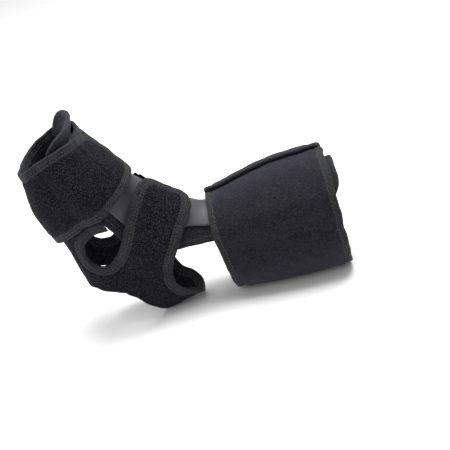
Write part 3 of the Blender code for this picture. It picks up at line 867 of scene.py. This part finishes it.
def make_hook_tape():
    def on_shell(places):
        return np.full(places.shape[:-1], PATCH_FROM + PATCH_HALF)

    for over, low, high, half in SHELL_PATCHES:
        hook_patch(over + "_hook_strip", low, high, -half, half, on_shell, 1, "frame", over + "_shell_patch")

    def under_calf_flap(places):
        return wrap_level(places) + FLAP_RAISE - UNDER_FLAP

    def under_forefoot_flap(places):
        return forefoot_level(places) + FLAP_RAISE - UNDER_FLAP

    low, high = CALF_ENDS
    hook_patch("calf_flap_hooks", low + 0.16, high - 0.20, 300, 338, under_calf_flap, -1, "calf_flap",
               "calf_hook_tab")
    hook_patch("forefoot_flap_hooks", 7.0, 8.6, 11, 35, under_forefoot_flap, -1, "forefoot_flap",
               "forefoot_hook_tab")


# ---- The calf wrap ----


def calf_edges(angles):
    """The calf wrap's ends, a little wavy; its ankle end is drawn up towards the knee at the back."""
    low, high = CALF_ENDS
    high = high - CALF_SLANT * ease(np.abs(around(angles)), 40, 160)
    wave = 0.005 * np.sin(np.radians(angles) * 9.0) + 0.003 * np.sin(np.radians(angles) * 17.0 + 1.0)
    return low + wave, high + 0.6 * np.roll(wave, 3)


def make_calf_wrap():
    step = 1.6
    panel_bend = across_hinge(CALF_BEND, CALF_FIXED_END - 7.0, CALF_FIXED_END + 7.0)
    flap_bend = across_hinge(CALF_BEND, CALF_FLAP_ROOT - 6.0, CALF_FLAP_ROOT + 6.0)
    runs = (("fixed", CALF_PIECING, CALF_START, wrap_level, "frame", (), "calf_wrap", "calf_wrap_binding"),
            ("panel", CALF_PIECING, PANEL_PIECING, calf_flap_level, ("frame", "calf_panel"), panel_bend,
             "calf_medial_panel", "calf_panel_binding"),
            ("flap", PANEL_PIECING, CALF_FLAP_END, calf_flap_level, ("calf_panel", "calf_flap"), flap_bend,
             "calf_flap", "calf_flap_binding"))
    for part, start, stop, level, bodies, bend, node, tape_node in runs:
        corner = CALF_CORNER if part != "panel" else 0.0
        angles = angles_to(start, stop, step, corner)
        places = strip(angles, *calf_edges(angles), step, corner)
        side = 1 if stop > start else -1
        lines = [("", u_edge(places), side)]
        if part == "panel":
            lines = [("_upper", places[:, 0], 1), ("_lower", places[:, -1], -1)]
        piece, area = cloth("calf_cloth_" + part, [places], level, [line for _, line, _ in lines])
        dress(piece, "smooth_fabric")
        tapes = []
        for end, line, on in lines:
            name = "calf_tape_" + part + end
            tape = bind(binding(name, line, on, level, 8.0, rows=(1.9,), pucker=0.25))
            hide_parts(tape_node + end)
            tapes += tape
        attach([piece, *tapes], bodies, *bend)
        declare(places, node)


# ---- The forefoot wrap ----

# (angle, station) along the wrap's edges: the rear one alike on both sides.
FOREFOOT_REAR = np.array([(0, 6.4), (27, 6.58), (50, 6.90), (77, 7.12), (110, 7.3), (180, 7.35)])
FOREFOOT_FRONT = np.array([(-180, 9.3), (-110, 9.3), (-50, 9.15), (0, 8.95), (20, 9.12), (50, 9.52),
                           (90, 9.62), (128, 9.42), (180, 9.3)])


def forefoot_edges(deg, peek):
    """Rear and front stations of the forefoot wrap: it slants forward, most on the lateral side.

    The peek moves the front edge, by so much of a station over the top of the foot.
    """
    deg = around(deg)
    rear = np.interp(np.abs(deg), *FOREFOOT_REAR.T)
    front = np.interp(deg, *FOREFOOT_FRONT.T)
    return rear, front + peek * (1 - ease(np.abs(deg), 100, 140))


def make_forefoot_wrap():
    step = 1.4
    root = across_hinge(FOREFOOT_BEND, FOREFOOT_ROOT + 5.0, FOREFOOT_ROOT - 7.0)
    upward = unit(limb(FOREFOOT_BEND, 0) - limb(FOREFOOT_BEND, 180))
    end = root[0] + upward * ((root[1] - root[0]) @ upward)
    runs = (("band", -360 + FOREFOOT_PIECING, BAND_END, 0.10, forefoot_level, "frame", (),
             "forefoot_band", "forefoot_band_binding"),
            ("flap", FOREFOOT_PIECING, FOREFOOT_FLAP_END, -0.10, forefoot_flap_level,
             ("frame", "forefoot_flap"), (root[0], end), "forefoot_flap", "forefoot_flap_binding"))
    for part, start, stop, peek, level, bodies, bend, node, tape_node in runs:
        angles = angles_to(start, stop, step, FOREFOOT_CORNER)
        rear, front = (smoothed(edge, 25) for edge in forefoot_edges(angles, peek))
        places = strip(angles, rear, front, step, FOREFOOT_CORNER)
        piece, area = cloth("forefoot_cloth_" + part, [places], level, [u_edge(places)])
        dress(piece, "loop_fabric")
        tapes = bind(binding("forefoot_tape_" + part, u_edge(places), 1 if stop > start else -1, level, 9.0,
                             rows=(1.9, 4.6)))
        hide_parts(tape_node)
        attach([piece, *tapes], bodies, *bend)
        declare(places, node)


# ---- The heel sling and its strap ----

STRAP_FRONT = [(5.52, -54), (5.52, -20), (5.58, 10), (5.74, 34), (5.70, 56), (5.50, 75), (5.44, 90),
               (5.55, 105), (5.86, 121)]
STRAP_REAR = [(3.22, -54), (3.16, -20), (3.18, 10), (3.30, 30), (3.50, 48), (3.68, 64), (3.82, 80),
              (3.87, 93), (3.80, 108), (3.62, 122)]
WINDOW_FOOT = [(5.86, 121), (6.14, 129), (6.50, 130.5), (6.80, 122)]
WINDOW_FRONT = [(6.50, 76), (6.70, 90), (6.82, 106), (6.80, 122)]
HEEL_RIM_REAR = [(4.95, 111), (4.60, 116), (4.34, 126), (4.08, 139)]
HEEL_RIM_FRONT = [(5.70, 137), (5.50, 127), (5.25, 117), (4.95, 111)]
RIM_TO_SOLE = [(6.00, 180), (5.88, 158), (5.70, 137)]
RIM_TO_TENDON = [(4.08, 139), (3.86, 158), (3.78, 180)]
TENDON_TOP = [(3.62, 122), (3.44, 133), (3.20, 143), (3.04, 158), (3.00, 180)]
ARCH_REAR, ARCH_FRONT = (6.85, 180), 8.0
FINE = 7


def sling_patches(sign, strap_start):
    """The sling's half on one side (sign 1 lateral, -1 medial), as patches that share their edges."""
    strap_rows = FINE * (11 if strap_start < 60 else 5) + 1

    def drawn(points, cells):
        return curve(points, cells * FINE + 1)

    def straight(start, end, cells):
        return np.linspace(start, end, cells * FINE + 1)

    def from_start(points):
        line = curve(points, 400)
        order = np.arange(len(line))
        first = np.interp(strap_start, line[:, 1], order)
        return read_off(np.linspace(first, order[-1], strap_rows), order, line)

    front, rear = from_start(STRAP_FRONT), from_start(STRAP_REAR)
    cut_front = straight(WINDOW_FOOT[0], HEEL_RIM_FRONT[0], 3)
    cut_rear = straight(STRAP_REAR[-1], HEEL_RIM_REAR[-1], 3)
    rim = np.concatenate([drawn(HEEL_RIM_FRONT, 4), drawn(HEEL_RIM_REAR, 4)[1:]])
    left = np.concatenate([front, cut_front[1:]])
    right = np.concatenate([rear, cut_rear[1:]])
    top = straight(front[0], rear[0], 8)
    strap = coons(top, rim, left, right)
    window_foot = drawn(WINDOW_FOOT, 4)
    to_sole = drawn(RIM_TO_SOLE, 5)
    sole_rim = np.concatenate([to_sole, cut_front[::-1][1:]])
    arch_line = straight(ARCH_REAR, WINDOW_FOOT[-1], 8)
    arch = coons(straight(sole_rim[0], arch_line[0], 4), window_foot, sole_rim, arch_line)
    ear_edge = drawn(WINDOW_FRONT, 5)
    inner = np.concatenate([ear_edge, arch_line[::-1][1:]])
    outer = np.linspace((ARCH_FRONT, WINDOW_FRONT[0][1]), (ARCH_FRONT, 180), len(inner))
    ends = (straight(inner[k], outer[k], 5) for k in (0, -1))
    band = coons(*ends, inner, outer)
    tendon_top, tendon_rim = drawn(TENDON_TOP, 8), drawn(RIM_TO_TENDON, 8)
    tendon = coons(tendon_top, tendon_rim, cut_rear,
                   straight(tendon_top[-1], tendon_rim[-1], 3))
    side, shift = np.array([1.0, sign]), np.array([0.0, 0.0 if sign > 0 else 360.0])
    edges = {"window": [front, window_foot[1:], ear_edge[::-1][1:]], "rear": [rear, tendon_top[1:]],
             "top": [top], "rim": [to_sole, rim[1:], tendon_rim[1:]]}
    return ([piece * side + shift for piece in (strap, arch, band, tendon)],
            {key: np.concatenate(lines) * side + shift for key, lines in edges.items()})


def make_heel_sling():
    lateral, lateral_edges = sling_patches(1, ANKLE_PIECING)
    medial, medial_edges = sling_patches(-1, -MEDIAL_ARM_END)
    rear = np.concatenate([lateral_edges["rear"], medial_edges["rear"][::-1][1:]])
    rim = np.concatenate([lateral_edges["rim"], medial_edges["rim"][::-1][1:-1]])
    windows = (("lateral", lateral_edges["window"], -1), ("medial", medial_edges["window"], 1))
    bound = [rear, medial_edges["top"]] + [line for _, line, _ in windows]
    sling, area = cloth("sling_cloth", lateral + medial, wrap_level, bound)
    dress(sling, "loop_fabric")
    tapes = bind(binding("sling_tape_rear", rear, 1, wrap_level, 11.0, rows=(2.0, 5.4)))
    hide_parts("sling_binding_rear")
    for name, line, on in windows:
        window = bind(binding("sling_tape_window_" + name, line, on, wrap_level, 11.0, rows=(2.0, 5.4)))
        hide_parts("sling_binding_window_" + name)
        tapes += window
    tapes += bind(binding("sling_tape_medial_end", medial_edges["top"], 1, wrap_level, 8.0, rows=(1.9,),
                          out=4.4, lift=0.35))
    hem = binding("sling_heel_hem", rim, 1, wrap_level, 5.0, rows=(), out=1.7, half=2.15, closed=True)
    dress(hem[0], "loop_fabric")
    attach([sling, *tapes, *hem], "frame")
    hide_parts("heel_sling")


def make_ankle_flap():
    """The lateral strap over the instep, in one with the sling up to its hinge."""
    step = 1.3
    angles = angles_to(ANKLE_PIECING, ANKLE_FLAP_END, step, STRAP_CORNER)
    front, rear = curve(STRAP_FRONT, 400), curve(STRAP_REAR, 400)
    low = np.interp(angles, rear[:, 1], rear[:, 0])
    high = np.interp(angles, front[:, 1], front[:, 0])
    places = strip(angles, low, high, step, STRAP_CORNER)
    piece, area = cloth("ankle_strap_cloth", [places], strap_level, [u_edge(places)])
    dress(piece, "loop_fabric")
    tapes = bind(binding("ankle_strap_tape", u_edge(places), -1, strap_level, 11.5, rows=(2.0, 5.6)))
    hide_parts("ankle_flap_binding")
    bend = across_hinge(ANKLE_BEND, ANKLE_ROOT + 6.0, ANKLE_ROOT - 6.0)
    attach([piece, *tapes], ("frame", "ankle_flap"), *bend)
    declare(places, "ankle_flap")


# ---- Floor, light and camera ----

# In metres. A lamp has a name, a place, a size and a power.
FLOOR_HALF, SKY_STRENGTH = 3.0, 0.55
LAMPS = (("overhead", (0.1, 0.25, 1.5), 1.5, 48.0), ("front", (-0.9, -1.3, 0.9), 1.0, 7.0))
LAMP_AIM = (0, 0, 0.1)


def make_studio():
    data = bpy.data.meshes.new("floor")
    corners = [(x * FLOOR_HALF, y * FLOOR_HALF, 0) for x, y in ((-1, -1), (1, -1), (1, 1), (-1, 1))]
    data.from_pydata(corners, [], [(0, 1, 2, 3)])
    floor = add_object("floor", data)
    paper = Finish("paper", roughness=0.9)
    paper.wear(paper.mix(paper.noise(0.8), (0.86, 0.86, 0.86), (0.88, 0.88, 0.88)))
    data.materials.append(paper.material)

    world = bpy.data.worlds.new("studio")
    world.use_nodes = True
    sky = world.node_tree.nodes["Background"].inputs
    sky["Color"].default_value = (1.0, 1.0, 1.0, 1)
    sky["Strength"].default_value = SKY_STRENGTH
    bpy.context.scene.world = world

    for name, place, size, power in LAMPS:
        lamp = bpy.data.lights.new(name, "AREA")
        lamp.shape = "SQUARE"
        lamp.size = size
        lamp.energy = power
        add_object(name, lamp).matrix_world = looking(np.array(place), np.array(LAMP_AIM))


def looking(place, aim):
    """A matrix at a place whose -Z points at the aim, with its Y up."""
    back = unit(place - aim)
    right = unit(np.cross((0.0, 0.0, 1.0), back))
    return framed(right, np.cross(back, right), back, place)


def framed(right, up, back, place):
    """A matrix with the given axes and place."""
    made = np.identity(4)
    made[:3, :] = np.stack([right, up, back, place], -1)
    return Matrix(made.tolist())


def make_camera():
    """The camera looks at the lateral side: rolled out with the leg, a little from the knee, shin aslant."""
    roll, swing, tilt = math.radians(22.0), math.radians(3.0), math.radians(15.6)
    distance, lens, sensor, far = 1.4, 112.0, 36.0, 20.0
    aim_right, aim_up = 65.0, 25.0
    up_shin = np.array([1.0, 0.0, 0.0])
    toward = np.array([0.0, math.sin(roll), math.cos(roll)])
    forward = np.array([0.0, math.cos(roll), -math.sin(roll)])
    view = math.cos(swing) * toward + math.sin(swing) * up_shin
    level_shin = math.cos(swing) * up_shin - math.sin(swing) * toward
    right = to_part(math.cos(tilt) * level_shin - math.sin(tilt) * forward)
    up = to_part(math.sin(tilt) * level_shin + math.cos(tilt) * forward)
    view = to_part(view)
    centre = (ANKLE + aim_right * right + aim_up * up) * MM
    data = bpy.data.cameras.new("camera")
    data.lens = lens
    data.sensor_width = sensor
    data.clip_end = far
    made = add_object("camera", data)
    made.matrix_world = framed(right, up, view, centre + distance * view)
    bpy.context.scene.camera = made


make_camera()
make_shell()
make_liner()
make_hook_tape()
make_calf_wrap()
make_forefoot_wrap()
make_heel_sling()
make_ankle_flap()
make_studio()
bpy.context.scene.view_settings.view_transform = "Standard"
